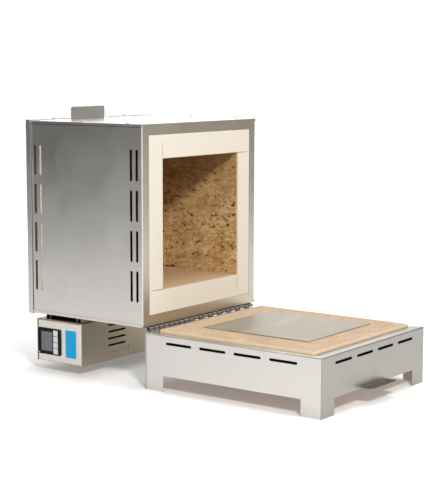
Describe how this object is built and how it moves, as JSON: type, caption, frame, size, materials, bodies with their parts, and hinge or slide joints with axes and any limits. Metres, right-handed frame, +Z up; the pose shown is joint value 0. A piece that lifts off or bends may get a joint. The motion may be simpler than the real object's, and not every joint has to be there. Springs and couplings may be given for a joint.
{
  "type": "hobby kiln",
  "caption": "Small electric kiln with a box-shaped hood that tips back on a piano hinge from a low base with a hearth slab, and a controller housing under the open hood.",
  "frame": {"origin": "On the surface that the kiln stands on, under the middle of its bounding box with the hood open.", "axes": "+X to the right as seen from the base's front, +Y to the rear, where the open hood lies, +Z up."},
  "size_m": [0.4326, 0.8416, 0.6126],
  "materials": {
    "shell_steel": "satin",
    "housing_steel": "satin",
    "hinge_steel": "satin",
    "fastener_steel": "gloss",
    "firebrick": "matte",
    "insulation_board": "matte",
    "hearth": "matte",
    "kiln_plate": "gloss",
    "heating_wire": "matte",
    "porcelain": "satin",
    "black_plastic": "matte",
    "display_pane": "gloss",
    "lamp_lens": "gloss",
    "key_plastic": "satin",
    "rocker_plastic": "satin",
    "badge_paint": "satin",
    "sink_aluminium": "satin",
    "rubber": "matte"
  },
  "bodies": {
    "base": {"base_left_panel": "shell_steel", "base_right_panel": "shell_steel", "base_front_panel": "shell_steel", "base_rear_panel": "shell_steel", "base_rivets": "fastener_steel", "base_tray": "shell_steel", "hearth_board": "insulation_board", "hearth_slab": "hearth", "kiln_plate": "kiln_plate", "hinge_leaf_lower": "hinge_steel", "hinge_pin": "hinge_steel"},
    "hood": {"hood_left_panel": "shell_steel", "hood_right_panel": "shell_steel", "hood_top_panel": "shell_steel", "hood_bottom_panel": "shell_steel", "hood_rear_cover": "shell_steel", "housing_wrap": "housing_steel", "housing_cover": "housing_steel", "face_plate": "housing_steel", "end_plate": "housing_steel", "spacer_rail_front": "housing_steel", "spacer_rail_rear": "housing_steel", "hinge_leaf_upper": "hinge_steel", "hood_screws": "fastener_steel", "housing_screws": "fastener_steel", "brick_left": "firebrick", "brick_top": "firebrick", "brick_right": "firebrick", "brick_bottom": "firebrick", "rear_brick": "firebrick", "board_left": "insulation_board", "board_right": "insulation_board", "board_top": "insulation_board", "board_bottom": "insulation_board", "rear_board": "insulation_board", "heating_coils": "heating_wire", "coil_tails": "heating_wire", "tail_bushes": "porcelain", "terminal_blocks": "porcelain", "thermocouple": "porcelain", "controller_bezel": "black_plastic", "controller_case": "black_plastic", "thermocouple_head": "black_plastic", "cable_gland": "black_plastic", "gland_nut": "black_plastic", "switch_frame": "black_plastic", "display_window": "display_pane", "status_lamp": "lamp_lens", "badge_plate": "badge_paint", "power_relay": "sink_aluminium", "rubber_feet": "rubber", "gland_seal": "rubber"},
    "key_1": {"key_1": "key_plastic"},
    "key_2": {"key_2": "key_plastic"},
    "key_3": {"key_3": "key_plastic"},
    "key_4": {"key_4": "key_plastic"},
    "switch_rocker": {"switch_rocker": "rocker_plastic"}
  },
  "joints": [
    {"name": "hood_hinge", "type": "hinge", "parent": "base", "child": "hood", "pos_m": [0, 0.0702, 0.13135], "axis": [1, 0, 0], "range_deg": [0, 90]},
    {"name": "key_1_press", "type": "slide", "parent": "hood", "child": "key_1", "axis": [1, 0, 0], "range_m": [0, 0.0012], "stiffness_N_per_m": 600},
    {"name": "key_2_press", "type": "slide", "parent": "hood", "child": "key_2", "axis": [1, 0, 0], "range_m": [0, 0.0012], "stiffness_N_per_m": 600},
    {"name": "key_3_press", "type": "slide", "parent": "hood", "child": "key_3", "axis": [1, 0, 0], "range_m": [0, 0.0012], "stiffness_N_per_m": 600},
    {"name": "key_4_press", "type": "slide", "parent": "hood", "child": "key_4", "axis": [1, 0, 0], "range_m": [0, 0.0012], "stiffness_N_per_m": 600},
    {"name": "switch_rock", "type": "hinge", "parent": "hood", "child": "switch_rocker", "pos_m": [0.20423, 0.3258, 0.07395], "axis": [0, 0, 1], "range_deg": [0, 20]}
  ]
}
